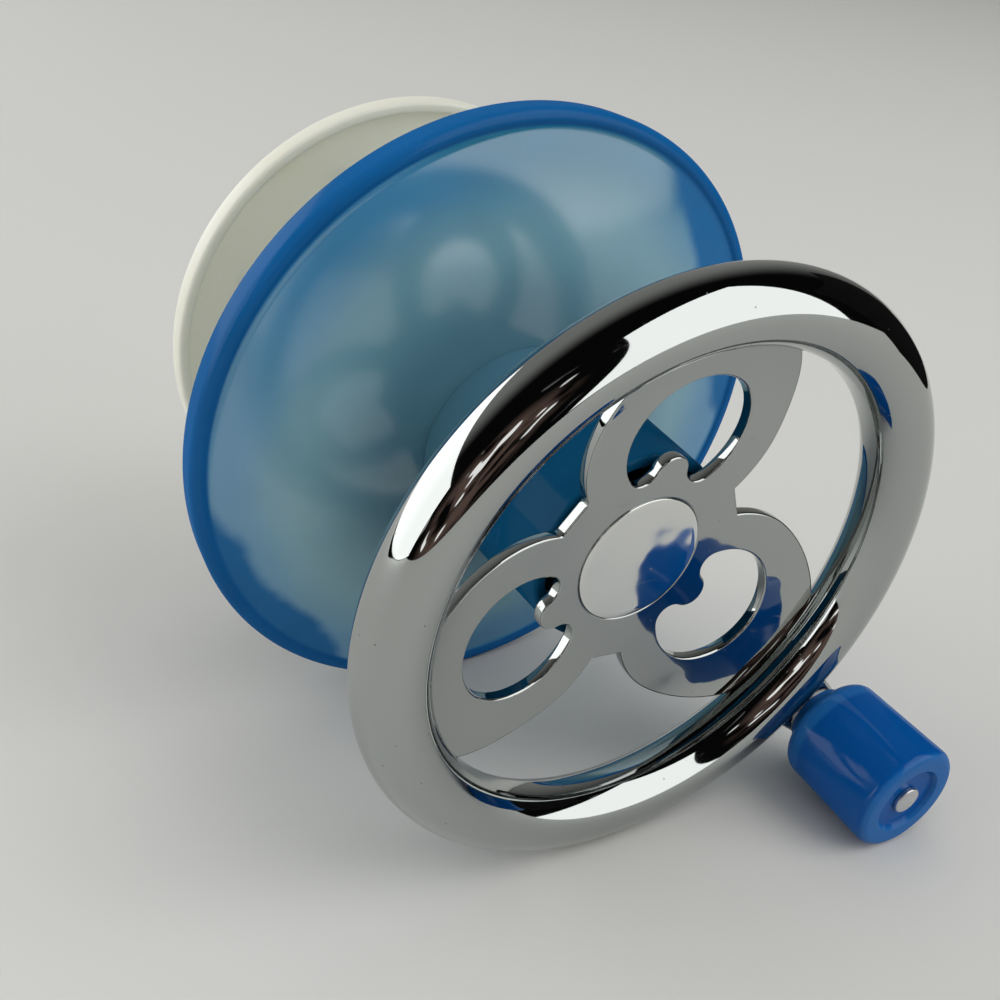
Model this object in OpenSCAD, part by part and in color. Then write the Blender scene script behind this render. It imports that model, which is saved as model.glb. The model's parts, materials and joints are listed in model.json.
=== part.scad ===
// Crank head of a hand ice shaver: lid, crank wheel and sprung ice pusher.
// Millimetres. Every module is drawn upright on the crank axis, with z = 0 at the hopper's seat and
// +z towards the wheel. The lay_down module then lays the head on its side, as it is put on a table.

/* [Wheel] */
// Outside diameter of the wheel's ring
wheel_d = 130; // [116:1:144]
// Thickness of the ring
ring_t = 14.4; // [12:0.2:16]
// Height of the ring's middle plane above the hopper's seat
wheel_h = 65; // [62:0.5:75]
// Depth of the plate's front behind the ring's middle plane
plate_set = 7; // [5:0.5:8]
// Thickness of the three-lobed plate
plate_t = 2.6; // [2:0.1:4]
// Diameter of the flat wall inside the ring
band_d = 101.8; // [101.4:0.1:103]
// Thickness of the band behind that wall
band_t = 3.2; // [2.6:0.1:5]
// Radius of one lobe of the plate
lobe_r = 23.5; // [21:0.5:25]
// Distance of a lobe's centre from the crank axis
lobe_at = 29.5; // [28:0.5:33]
// Distance of the flat between two lobes from the crank axis
notch_at = 22.5; // [20:0.5:25]
// Fillet where a lobe meets the ring
flare_r = 3; // [1:0.5:6]
// Radius of the kidney window in a lobe
window_r = 12.6; // [10:0.2:14]
// Distance of the window's centre from the crank axis
window_at = 29; // [27:0.5:31]
// Radius of the bump that makes the window a kidney
bump_r = 5; // [4:0.2:6]
// Distance of the bump's tip from the crank axis
bump_tip = 23.2; // [22:0.2:25]
// Radius of the kidney's two round ends
kidney_end_r = 3.6; // [3:0.2:4.4]
// Turn of the lobes away from the knob
lobe_turn = 4.9; // [-20:0.1:20]
// Diameter of the disc let into the plate's middle
cap_d = 28; // [20:0.5:30]
// Thickness of that disc
cap_t = 1.4; // [1:0.1:2]

/* [Hub] */
// Diameter of the boss behind the plate
boss_d = 31; // [28:0.5:33]
// Length of the boss behind the plate
boss_l = 11.4; // [9:0.2:14]
// Width of the square that turns the wheel
square_w = 14; // [12:0.5:16]
// Metal left between the square and the washer
hub_floor = 1.6; // [1:0.1:3]
// Diameter of the hub screw
hub_screw_d = 5; // [4:0.5:6]
// Diameter of the hub screw's head
hub_head_d = 9; // [7:0.5:10]
// Height of the hub screw's head
hub_head_h = 2; // [1.5:0.1:2.5]
// Width of the cross in the hub screw's head
hub_cross_w = 1; // [0.6:0.1:1.6]
// Length of the hub screw under its head
hub_screw_l = 8.6; // [7:0.2:9]
// Diameter of the washer under the head
hub_washer_d = 12; // [10.5:0.5:13]
// Thickness of that washer
hub_washer_t = 1; // [0.6:0.1:1.4]

/* [Knob] */
// Distance of the knob's axis from the crank axis
knob_at = 72.5; // [72.5:0.5:78]
// Largest diameter of the knob
knob_d = 26; // [22:0.2:28]
// Diameter of the knob's body near the wheel
knob_base_d = 25; // [20:0.2:25.8]
// Rounding of the body's edge near the wheel
knob_base_round = 3; // [1.5:0.5:4]
// Diameter of the knob's foot on its washer
knob_foot_d = 14.4; // [12:0.2:16]
// Clearance of the knob's body over the ring
knob_clear = 0.2; // [0.2:0.1:1]
// Length of the knob
knob_l = 29; // [24:0.5:36]
// Height of the knob's foot above the ring's middle plane
knob_rise = 4.4; // [4.4:0.1:6]
// Rounding of the knob's free end
knob_round = 2; // [1.5:0.5:4]
// Diameter of the dish in the free end
dish_d = 16; // [10:0.5:18]
// Depth of the dish
dish_h = 1.2; // [0.8:0.1:2]
// Diameter of the knob's pin
pin_d = 3.6; // [3:0.1:4.4]
// Diameter of the pin's two heads
pin_head_d = 6.4; // [5:0.1:7]
// Height of a pin head
pin_head_h = 1; // [0.6:0.1:1.2]
// Diameter of the ear that carries the knob
ear_d = 13.6; // [11:0.2:15]
// Thickness of the ear
ear_t = 7; // [5:0.5:8]
// Diameter of the washer under the knob
knob_washer_d = 13.2; // [9:0.2:13.4]
// Thickness of that washer
knob_washer_t = 0.6; // [0.4:0.1:1]

/* [Lid] */
// Largest diameter of the lid
lid_d = 140.6; // [134:0.2:152]
// Rounding of the lid's rim
rim_r = 2; // [1.5:0.1:2.6]
// Height of that rounding's centre above the seat
rim_z = 1.2; // [1:0.1:1.6]
// Height of the dome's middle above the lid's seat
dome_h = 10.8; // [9:0.1:14]
// How far the rim stands up round the dome's edge
lip_h = 0.6; // [0.4:0.1:1.2]
// Thickness of the lid's middle over the neck's flange
pad_t = 5.8; // [5.4:0.1:6.4]
// Thickness of the lid
lid_t = 3.2; // [2.4:0.2:3.4]
// Length of the skirt below the seat
skirt_h = 3.4; // [2:0.2:8]
// Thickness of the skirt
skirt_t = 2.8; // [2:0.1:3.2]
// How far the skirt draws in at its edge
skirt_draft = 0.4; // [0:0.1:1]
// Outside diameter of the ring that enters the hopper
spigot_d = 122.8; // [118:0.2:123.6]
// Thickness of that ring
spigot_t = 2.4; // [1.8:0.2:3]
// Length of that ring below the seat
spigot_h = 8.5; // [5:0.5:12]

/* [Neck] */
// Outside diameter of the neck at its top
neck_d = 43; // [42:0.5:46]
// How much wider the neck is at its foot
neck_taper = 1.4; // [0:0.2:3]
// Thickness of the neck's wall at its top
neck_t = 2.5; // [2:0.1:3]
// Gap between the neck's top and the wheel's plate
neck_gap = 2; // [1:0.2:4]
// Rounding of the neck's top edge
neck_lip = 1; // [0.4:0.1:1.6]
// Width of the ledge that carries the upper bush
ledge_w = 2; // [1.5:0.1:2.5]
// Diameter of the neck's flange under the lid
flange_d = 62; // [60:0.5:70]
// Thickness of the flange
flange_t = 3; // [2:0.2:3.6]
// Distance of the neck's screws from the crank axis
neck_screw_at = 27; // [26.5:0.1:28]
// Diameter of a small screw
screw_d = 3; // [2.5:0.1:3.4]
// Diameter of a small screw's head
screw_head_d = 5.6; // [5:0.1:6]
// Height of a small screw's head
screw_head_h = 2.2; // [1.6:0.1:2.6]
// Rounding of that head
screw_round = 0.8; // [0.2:0.1:1.2]
// Length of the neck's screws that bites in the lid
neck_bite = 2.6; // [2:0.1:3]

/* [Drive] */
// Diameter of the drive tube
tube_d = 26; // [25.6:0.1:28]
// Width across the flats of the stem's head
hex_w = 18; // [17:0.1:18.4]
// Thickness of the tube's end above its hexagonal bore
tube_roof = 0.6; // [0.4:0.1:2]
// Depth of the tube's end below the seat
tube_drop = 4; // [3.8:0.1:5]
// Length of the upper bush
upper_bush_l = 9.9; // [8:0.1:10.5]
// Thickness of a flat washer
washer_t = 0.7; // [0.5:0.1:0.8]
// Outside diameter of the two large washers
washer_d = 35; // [32:0.5:36]
// Length of the lower bush inside the neck
lower_bush_l = 8; // [6:0.5:12]
// Diameter of the lower bush's flange
lower_bush_d = 40; // [38:0.5:42]
// Thickness of that flange
lower_bush_t = 3; // [2:0.1:3.2]
// Diameter of the end nut
nut_d = 36; // [32:0.5:38]
// Thickness of the end nut's flange
nut_t = 4; // [3:0.2:6]
// Number of key notches round the end nut
nut_notches = 8; // [4:1:12]
// Diameter of a key notch
nut_notch_d = 4; // [2:0.5:5]
// Diameter of the end nut's collar inside the tube
collar_d = 22.8; // [22:0.1:23]
// Length of that collar
collar_l = 6; // [4:0.5:8]

/* [Pusher] */
// Diameter of the pusher's disc
disc_d = 111; // [100:0.5:114]
// Distance from the hopper's seat to the near edge of the disc's rim
disc_drop = 46; // [44:0.5:52]
// Height of the disc's rim
rim_h = 5; // [4:0.2:8]
// Thickness of the disc's rim
rim_t = 2.6; // [2:0.1:4]
// Thickness of the disc
disc_t = 3; // [2.4:0.1:4]
// Number of ribs on the disc
ribs = 6; // [3:1:9]
// Height of a rib
rib_h = 1.6; // [1:0.1:2.4]
// Thickness of a rib
rib_t = 2; // [1.4:0.1:3]
// Diameter of the stem
stem_d = 16; // [15:0.1:16.4]
// Diameter of the stem's bore
stem_bore = 12; // [11.6:0.1:12.4]
// Length of the stem's hexagonal head
head_l = 10; // [8:0.5:12]
// Solid length at the stem's lower end
stem_plug = 6; // [4:0.5:10]
// Diameter of the stem's foot
foot_d = 30; // [29:0.5:34]
// Thickness of the foot
foot_t = 3; // [2.4:0.1:4]
// Distance of the disc's screws from the crank axis
disc_screw_at = 11.5; // [11.3:0.1:12]
// How far the pusher slides up, from its lowest place
travel = 29; // [10:0.5:29.5]
// Diameter of a spike
spike_d = 2.6; // [2:0.1:4]
// Length of a spike below the disc
spike_l = 7; // [4:0.5:10]
// Depth of a spike's root in the disc
spike_root = 2; // [1:0.1:2.2]
// Distance of the inner ring of spikes from the crank axis
spike_in_at = 22; // [19:0.5:30]
// Number of spikes in the inner ring
spike_in_count = 4; // [3:1:6]
// Distance of the outer ring of spikes from the crank axis
spike_out_at = 42; // [34:0.5:48]
// Number of spikes in the outer ring
spike_out_count = 8; // [3:1:12]

/* [Spring] */
// Diameter of the spring's wire
wire_d = 1.2; // [0.8:0.1:1.4]
// Middle diameter of the spring's coils
coil_d = 9.2; // [8.8:0.1:9.6]
// Number of turns
turns = 20; // [12:1:22]
// Diameter of the rod that guides the spring
rod_d = 6.4; // [5:0.1:6.6]
// Length of that rod
rod_l = 28; // [10:1:30]
// Thickness of the guide's flange
guide_t = 1; // [0.6:0.1:1.2]

/* [Fits] */
// Gap round a shaft that turns or slides
run_gap = 0.05; // [0.02:0.01:0.1]
// Gap between flat faces that pass each other
face_gap = 0.1; // [0.05:0.05:0.3]

/* [Hidden] */
$fn = 96;
LOBES = 3;
SCREWS = 3;
OVER = 1;
BLUE = [0.05, 0.30, 0.62, 0.8];
CHROME = [0.78, 0.79, 0.80];
CREAM = [0.86, 0.85, 0.78];
WHITE = [0.93, 0.93, 0.92];
STEEL = [0.62, 0.63, 0.65];

// Wheel and hub heights
ring_c = (wheel_d - ring_t) / 2;
band_r = band_d / 2;
plate_front = wheel_h - plate_set;
plate_back = plate_front - plate_t;
boss_z = plate_back - boss_l;
cap_z = plate_front - cap_t;
head_z = cap_z - face_gap - hub_head_h;
washer_z = head_z - hub_washer_t;
square_top = washer_z - hub_floor;

// Knob heights
foot_z = wheel_h + knob_rise;
base_z = wheel_h + ring_t / 2 + knob_clear;
knob_end = foot_z + knob_l;
dish_z = knob_end - dish_h;
knob_washer_z = foot_z - face_gap - knob_washer_t;
ear_z = knob_washer_z - ear_t;

// Neck and bush heights
neck_top = plate_back - neck_gap;
neck_bore = neck_d - 2 * neck_t;
lower_bore = neck_bore - 2 * ledge_w;
pad_z = dome_h - pad_t;
flange_z = pad_z - flange_t;
thrust_z = boss_z - face_gap - washer_t;
ledge_z = thrust_z - upper_bush_l;
lower_washer_z = -lower_bush_t - face_gap - washer_t;

// Drive tube and stem heights
hex_bore = hex_w + 2 * face_gap;
roof_z = boss_z - tube_roof;
guide_z = roof_z - guide_t;
collar_z = collar_l - tube_drop;
stem_head_z = collar_z + face_gap;
stem_top = stem_head_z + head_l;
disc_face = -disc_drop - rim_h + disc_t;
disc_back = disc_face - disc_t;
spring_foot = disc_face + stem_plug;
spring_l = guide_z - spring_foot - 2 * face_gap;

// Lying pose: the table touches the lid's rim, the wheel's ring and the knob
rim_c = lid_d / 2 - rim_r;
tilt_reach = sqrt(pow(rim_c - ring_c, 2) + pow(wheel_h - rim_z, 2));
tilt = atan2(rim_c - ring_c, wheel_h - rim_z) + asin((rim_r - ring_t / 2) / tilt_reach);
table_drop = rim_c * cos(tilt) + rim_z * sin(tilt) + rim_r;
knob_rest_r = knob_d / 2;
knob_rest_z = knob_end - knob_round;
knob_turn = acos((table_drop - knob_rest_r - knob_rest_z * sin(tilt)) / (knob_at * cos(tilt)));

echo(tilt = tilt, table_drop = table_drop, knob_turn = knob_turn);
echo(crank_axis = [0, -cos(tilt), -sin(tilt)], stem_room = guide_z - stem_top - travel);
echo(knob_axis_point = laid([knob_at * sin(knob_turn), -knob_at * cos(knob_turn), foot_z]));
echo(spring_gap = spring_l / turns - wire_d - wire_d / turns);

// A point of the upright head, after the head has been laid down
function laid(p) = [p[0], -p[1] * sin(tilt) - p[2] * cos(tilt), p[1] * cos(tilt) - p[2] * sin(tilt)];

// Points of an arc round a centre
function arc(c, r, from, to, n) =
    [for (i = [0:n]) c + r * [cos(from + (to - from) * i / n), sin(from + (to - from) * i / n)]];

// Lays the upright head on its side
module lay_down() {
    rotate([90 + tilt, 0, 0])
        children();
}

// Turns the crank's pieces so that the knob rests on the table
module crank_turn() {
    rotate([0, 0, knob_turn - 90])
        children();
}

// Copies round the crank axis
module round_axis(count, at = 0, start = 0) {
    for (i = [0:count - 1])
        rotate([0, 0, start + i * 360 / count])
            translate([at, 0, 0])
                children();
}

// Straight ring between two radii
module tube(r_out, r_in, z, h) {
    translate([0, 0, z])
        difference() {
            cylinder(r = r_out, h = h);
            translate([0, 0, -OVER])
                cylinder(r = r_in, h = h + 2 * OVER);
        }
}

// Regular hexagonal bar with a given width across flats
module hex_bar(width, z, h) {
    translate([0, 0, z])
        cylinder(r = width / 2 / cos(30), h = h, $fn = 6);
}

// Small pan-head screw whose head ends at z and whose shank goes up
module small_screw(z, shank_l) {
    translate([0, 0, z - screw_head_h])
        rotate_extrude()
            polygon(concat(
                [[0, 0], [screw_head_d / 2 - screw_round, 0]],
                arc([screw_head_d / 2 - screw_round, screw_round], screw_round, -90, 0, 4),
                [[screw_head_d / 2, screw_head_h], [screw_d / 2, screw_head_h]],
                [[screw_d / 2, screw_head_h + shank_l], [0, screw_head_h + shank_l]]
            ));
}

// Translucent lid: shallow dome, round rim, skirt and the ring that enters the hopper
module lid() {
    lip_a = 180 - asin((rim_r - lip_h) / rim_r);
    edge = [rim_c + rim_r * cos(lip_a), rim_z + rim_r - lip_h];
    dome_drop = dome_h - edge[1];
    dome_r = (pow(edge[0], 2) + pow(dome_drop, 2)) / (2 * dome_drop);
    dome_c = [0, dome_h - dome_r];
    edge_a = asin(edge[0] / dome_r);
    hole_r = neck_d / 2 + neck_taper / 2 + run_gap;
    hole_a = asin(hole_r / dome_r);
    spigot_r = spigot_d / 2;
    under_r = spigot_r - spigot_t;
    under_a = asin(under_r / (dome_r - lid_t));
    pad_r = flange_d / 2 + OVER;
    pad_a = asin(pad_r / (dome_r - lid_t));
    skirt_r = lid_d / 2 - skirt_draft;
    color(BLUE)
        difference() {
            rotate_extrude($fn = 180)
                polygon(concat(
                    [[hole_r, pad_z]],
                    arc(dome_c, dome_r, 90 - hole_a, 90 - edge_a, 12),
                    arc([rim_c, rim_z], rim_r, lip_a - lip_a / 12, 0, 11),
                    [[skirt_r, -skirt_h], [lid_d / 2 - skirt_t, -skirt_h], [lid_d / 2 - skirt_t, 0]],
                    [[spigot_r, 0], [spigot_r, -spigot_h], [under_r, -spigot_h]],
                    arc(dome_c, dome_r - lid_t, 90 - under_a, 90 - pad_a, 6),
                    [[pad_r, pad_z]]
                ));
            round_axis(SCREWS, neck_screw_at)
                translate([0, 0, pad_z - OVER])
                    cylinder(d = screw_d + run_gap, h = neck_bite + OVER);
        }
}

// Tower in the middle of the lid, with a flange under it
module neck() {
    top_r = neck_d / 2;
    foot_r = top_r + neck_taper / 2;
    sleeve_r = lower_bush_d / 2;
    color(BLUE)
        difference() {
            rotate_extrude()
                polygon(concat(
                    [[lower_bore / 2, 0], [sleeve_r, 0], [sleeve_r, flange_z], [flange_d / 2, flange_z]],
                    [[flange_d / 2, pad_z], [foot_r, pad_z], [foot_r, dome_h]],
                    arc([top_r - neck_lip, neck_top - neck_lip], neck_lip, 0, 90, 5),
                    [[neck_bore / 2, neck_top], [neck_bore / 2, ledge_z], [lower_bore / 2, ledge_z]]
                ));
            round_axis(SCREWS, neck_screw_at)
                translate([0, 0, flange_z - OVER])
                    cylinder(d = screw_d + 2 * run_gap, h = flange_t + 2 * OVER);
        }
}

// Three screws through the neck's flange into the lid
module neck_screws() {
    color(STEEL)
        round_axis(SCREWS, neck_screw_at)
            small_screw(flange_z, flange_t + neck_bite - face_gap);
}

// Plain bearing on the neck's ledge
module upper_bush() {
    color(WHITE)
        tube(neck_bore / 2 - run_gap, tube_d / 2 + run_gap, ledge_z, upper_bush_l);
}

// Flanged plain bearing in the neck's foot
module lower_bush() {
    color(WHITE)
        difference() {
            union() {
                cylinder(r = lower_bore / 2 - run_gap, h = lower_bush_l);
                translate([0, 0, -lower_bush_t])
                    cylinder(d = lower_bush_d, h = lower_bush_t);
            }
            translate([0, 0, -lower_bush_t - OVER])
                cylinder(r = tube_d / 2 + run_gap, h = lower_bush_l + lower_bush_t + 2 * OVER);
        }
}

// Tube that the wheel turns: square top, hexagonal bore, open foot for the end nut
module drive_tube() {
    color(WHITE)
        crank_turn()
            difference() {
                union() {
                    translate([0, 0, -tube_drop])
                        cylinder(d = tube_d, h = boss_z + tube_drop);
                    translate([-square_w / 2, -square_w / 2, boss_z - OVER])
                        cube([square_w, square_w, square_top - boss_z + OVER]);
                }
                hex_bar(hex_bore, -tube_drop - OVER, roof_z + tube_drop + OVER);
                translate([0, 0, -tube_drop - OVER])
                    cylinder(d = collar_d + 2 * run_gap, h = collar_l + OVER);
                translate([0, 0, head_z - hub_screw_l - face_gap])
                    cylinder(d = hub_screw_d + 2 * run_gap, h = hub_screw_l + OVER);
            }
}

// Washer between the wheel's boss and the upper bush
module thrust_washer() {
    color(STEEL)
        tube(washer_d / 2, tube_d / 2 + 2 * run_gap, thrust_z + face_gap, washer_t);
}

// Washer between the lower bush and the end nut
module lower_washer() {
    color(STEEL)
        tube(washer_d / 2, tube_d / 2 + 2 * run_gap, lower_washer_z, washer_t);
}

// Nut that closes the drive tube and guides the stem
module end_nut() {
    color(WHITE)
        crank_turn()
            difference() {
                union() {
                    translate([0, 0, -tube_drop - nut_t])
                        cylinder(d = nut_d, h = nut_t);
                    translate([0, 0, -tube_drop - OVER])
                        cylinder(d = collar_d, h = collar_l + OVER);
                }
                translate([0, 0, -tube_drop - nut_t - OVER])
                    cylinder(d = stem_d + 2 * run_gap, h = nut_t + collar_l + 2 * OVER);
                round_axis(nut_notches, nut_d / 2)
                    translate([0, 0, -tube_drop - nut_t - OVER])
                        cylinder(d = nut_notch_d, h = nut_t + 2 * OVER, $fn = 32);
            }
}

// Kidney window: a circle with a round bump from the hub side and two round ends
module kidney() {
    bump_at = bump_tip - bump_r;
    gap = window_at - bump_at;
    far = window_r - kidney_end_r;
    near = bump_r + kidney_end_r;
    end_x = window_at - (pow(far, 2) - pow(near, 2) + pow(gap, 2)) / (2 * gap);
    end_y = sqrt(pow(far, 2) - pow(window_at - end_x, 2));
    reach = (window_r + OVER) / far;
    difference() {
        translate([window_at, 0])
            circle(r = window_r);
        translate([bump_at, 0])
            circle(r = bump_r);
        for (side = [-1, 1])
            difference() {
                polygon([
                    [bump_at, 0],
                    [end_x, side * end_y],
                    [window_at + (end_x - window_at) * reach, side * end_y * reach],
                    [window_at - window_r - OVER, side * end_y],
                    [window_at - window_r - OVER, 0]
                ]);
                translate([end_x, side * end_y])
                    circle(r = kidney_end_r);
            }
    }
}

// Fillet between a lobe's side and the ring's band
module flare(side) {
    far = lobe_r + flare_r;
    near = band_r - flare_r;
    x = (pow(near, 2) - pow(far, 2) + pow(lobe_at, 2)) / (2 * lobe_at);
    y = sqrt(pow(near, 2) - pow(x, 2));
    out = (band_r + band_t / 2) / near;
    difference() {
        polygon([[lobe_at, 0], [x, side * y], [x * out, side * y * out], [band_r + band_t / 2, 0]]);
        translate([x, side * y])
            circle(r = flare_r);
    }
}

// Outline of the three-lobed plate
module plate_outline() {
    difference() {
        union() {
            circle(r = 2 * notch_at, $fn = 3);
            round_axis(LOBES) {
                translate([lobe_at, 0])
                    circle(r = lobe_r);
                flare(-1);
                flare(1);
            }
        }
        round_axis(LOBES)
            kidney();
    }
}

// Section of the ring: a circle with a flat inner wall that runs back to the plate
module ring_section() {
    difference() {
        union() {
            translate([ring_c, 0])
                circle(d = ring_t);
            translate([band_r, plate_back - wheel_h])
                square([band_t, wheel_h - plate_back]);
        }
        translate([0, -ring_t])
            square([band_r, 2 * ring_t]);
    }
}

// Plated wheel: round ring with an inner band, set-back plate, hub boss and the knob's ear
module handwheel() {
    color(CHROME)
        crank_turn()
            difference() {
                union() {
                    translate([0, 0, wheel_h])
                        rotate_extrude($fn = 180)
                            ring_section();
                    translate([0, 0, plate_back])
                        rotate([0, 0, lobe_turn])
                            linear_extrude(plate_t)
                                plate_outline();
                    translate([0, 0, boss_z])
                        cylinder(d = boss_d, h = boss_l + OVER);
                    translate([0, 0, ear_z])
                        linear_extrude(ear_t)
                            union() {
                                translate([knob_at, 0])
                                    circle(d = ear_d);
                                translate([ring_c, -ear_d / 2])
                                    square([knob_at - ring_c, ear_d]);
                            }
                }
                translate([0, 0, cap_z])
                    cylinder(d = cap_d + 2 * run_gap, h = cap_t + OVER);
                translate([0, 0, washer_z])
                    cylinder(d = hub_washer_d + 2 * face_gap, h = cap_z - washer_z + OVER);
                translate([0, 0, boss_z - OVER])
                    cylinder(d = hub_screw_d + 2 * run_gap, h = boss_l + plate_t);
                square_hole = square_w + 2 * run_gap;
                translate([-square_hole / 2, -square_hole / 2, boss_z - OVER])
                    cube([square_hole, square_hole, square_top - boss_z + OVER]);
                translate([knob_at, 0, ear_z - OVER])
                    cylinder(d = pin_d + 2 * run_gap, h = ear_t + 2 * OVER);
            }
}

// Satin disc that covers the hub screw
module hub_cap() {
    color(CHROME)
        crank_turn()
            translate([0, 0, cap_z])
                cylinder(d = cap_d, h = cap_t);
}

// Screw that holds the wheel on the drive tube
module hub_screw() {
    color(STEEL)
        crank_turn()
            difference() {
                union() {
                    translate([0, 0, head_z])
                        cylinder(d = hub_head_d, h = hub_head_h);
                    translate([0, 0, head_z - hub_screw_l])
                        cylinder(d = hub_screw_d, h = hub_screw_l + OVER);
                }
                for (turn = [0, 90])
                    rotate([0, 0, turn])
                        translate([-hub_head_d / 4, -hub_cross_w / 2, head_z + hub_head_h / 2])
                            cube([hub_head_d / 2, hub_cross_w, hub_head_h]);
            }
}

// Washer under the hub screw's head
module hub_washer() {
    color(STEEL)
        tube(hub_washer_d / 2, hub_screw_d / 2 + run_gap, washer_z, hub_washer_t);
}

// Barrel grip that turns on its pin, wider towards the free end
module knob() {
    foot_r = knob_foot_d / 2;
    base_r = knob_base_d / 2;
    wide_r = knob_d / 2;
    color(BLUE)
        crank_turn()
            translate([knob_at, 0, 0])
                rotate_extrude()
                    polygon(concat(
                        [[pin_d / 2 + run_gap, foot_z], [foot_r, foot_z], [foot_r, base_z]],
                        arc([base_r - knob_base_round, base_z + knob_base_round], knob_base_round, -90, 0, 6),
                        arc([wide_r - knob_round, knob_rest_z], knob_round, 0, 90, 8),
                        [[dish_d / 2, knob_end], [dish_d / 2 - dish_h / 2, dish_z]],
                        [[pin_d / 2 + run_gap, dish_z]]
                    ));
}

// Pin riveted in the wheel's ear, with a flat head in the knob's dish
module knob_pin() {
    shank_z = ear_z - face_gap;
    color(STEEL)
        crank_turn()
            translate([knob_at, 0, 0])
                union() {
                    translate([0, 0, shank_z - pin_head_h])
                        cylinder(d = pin_head_d, h = pin_head_h);
                    translate([0, 0, shank_z - OVER / 2])
                        cylinder(d = pin_d, h = dish_z + face_gap - shank_z + OVER);
                    translate([0, 0, dish_z + face_gap])
                        cylinder(d = pin_head_d, h = pin_head_h);
                }
}

// Washer between the ear and the knob
module knob_washer() {
    color(STEEL)
        crank_turn()
            translate([knob_at, 0, 0])
                tube(knob_washer_d / 2, pin_d / 2 + run_gap, knob_washer_z, knob_washer_t);
}

// Compression spring between its guide and the stem's lower end
module push_spring() {
    rings = 8;
    sides = 6;
    count = turns * rings;
    wire_r = wire_d / 2;
    rise = spring_l - wire_d;
    lead = atan2(rise / turns, PI * coil_d);
    low = spring_foot + face_gap + wire_r;
    function ring_point(i, k) =
        let (a = 360 * i / rings, b = 360 * k / sides, out = coil_d / 2 + wire_r * cos(b), up = wire_r * sin(b))
        [
            out * cos(a) + up * sin(lead) * sin(a),
            out * sin(a) - up * sin(lead) * cos(a),
            low + rise * i / count + up * cos(lead)
        ];
    points = [for (i = [0:count]) for (k = [0:sides - 1]) ring_point(i, k)];
    last = count * sides;
    walls = [
        for (i = [0:count - 1]) for (k = [0:sides - 1])
            let (a = i * sides + k, b = i * sides + (k + 1) % sides)
            each [[a, a + sides, b], [b, a + sides, b + sides]]
    ];
    ends = [for (k = [1:sides - 2]) each [[0, k, k + 1], [last, last + k + 1, last + k]]];
    color(STEEL)
        polyhedron(points, concat(walls, ends));
}

// Flanged rod that keeps the spring straight
module spring_guide() {
    color(WHITE)
        union() {
            translate([0, 0, guide_z])
                cylinder(d = hex_w - 2 * face_gap, h = guide_t);
            translate([0, 0, guide_z - rod_l])
                cylinder(d = rod_d, h = rod_l + guide_t / 2);
        }
}

// Hollow stem: hexagonal head in the drive tube, round shank, foot for the disc
module pusher_stem() {
    color(CREAM)
        crank_turn()
            difference() {
                union() {
                    hex_bar(hex_w, stem_head_z, head_l);
                    translate([0, 0, disc_face])
                        cylinder(d = stem_d, h = stem_head_z - disc_face + OVER);
                    translate([0, 0, disc_face])
                        cylinder(d = foot_d, h = foot_t);
                }
                translate([0, 0, spring_foot])
                    cylinder(d = stem_bore, h = stem_top - spring_foot + OVER);
                round_axis(SCREWS, disc_screw_at)
                    translate([0, 0, disc_face - OVER])
                        cylinder(d = screw_d + 2 * run_gap, h = foot_t - face_gap + OVER);
            }
}

// Disc that presses on the ice: rim and ribs on the lid's side, holes for spikes on the other
module pusher_disc() {
    color(CREAM)
        crank_turn()
            difference() {
                union() {
                    translate([0, 0, disc_back])
                        cylinder(d = disc_d, h = disc_t);
                    tube(disc_d / 2, disc_d / 2 - rim_t, disc_face - OVER, rim_h - disc_t + OVER);
                    round_axis(ribs, foot_d / 2 + rib_t / 2)
                        translate([0, -rib_t / 2, disc_face - OVER])
                            cube([disc_d / 2 - rim_t / 2 - foot_d / 2 - rib_t / 2, rib_t, rib_h + OVER]);
                }
                round_axis(SCREWS, disc_screw_at)
                    translate([0, 0, disc_back - OVER])
                        cylinder(d = screw_d + 2 * run_gap, h = disc_t + 2 * OVER);
                each_spike()
                    translate([0, 0, disc_back - OVER])
                        cylinder(d = spike_d + 2 * run_gap, h = spike_root + face_gap + OVER, $fn = 32);
            }
}

// Three screws from the ice side into the stem's foot
module pusher_screws() {
    color(STEEL)
        crank_turn()
            round_axis(SCREWS, disc_screw_at)
                small_screw(disc_back, disc_t + foot_t - 2 * face_gap);
}

// Places of the spikes
module each_spike() {
    round_axis(spike_in_count, spike_in_at, 180 / spike_in_count)
        children();
    round_axis(spike_out_count, spike_out_at, 180 / spike_out_count)
        children();
}

// Steel points pressed in the disc
module pusher_spikes() {
    color(STEEL)
        crank_turn()
            each_spike()
                union() {
                    translate([0, 0, disc_back - spike_l / 2])
                        cylinder(d = spike_d, h = spike_l / 2 + spike_root, $fn = 32);
                    translate([0, 0, disc_back - spike_l])
                        cylinder(d1 = spike_d / 6, d2 = spike_d, h = spike_l / 2, $fn = 32);
                }
}

lay_down() lid();
lay_down() neck();
lay_down() neck_screws();
lay_down() upper_bush();
lay_down() lower_bush();
lay_down() drive_tube();
lay_down() thrust_washer();
lay_down() lower_washer();
lay_down() end_nut();
lay_down() handwheel();
lay_down() hub_cap();
lay_down() hub_screw();
lay_down() hub_washer();
lay_down() knob();
lay_down() knob_pin();
lay_down() knob_washer();
lay_down() push_spring();
lay_down() spring_guide();
lay_down() pusher_stem();
lay_down() pusher_disc();
lay_down() pusher_screws();
lay_down() pusher_spikes();
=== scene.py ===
"""Looks of a hand ice shaver's crank head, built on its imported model, in metres."""
import itertools
import json
import logging
import math
from dataclasses import dataclass, field
from enum import Enum
from typing import Callable, Sequence, Union

import bmesh
import bpy
from mathutils import Matrix, Vector


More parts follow.
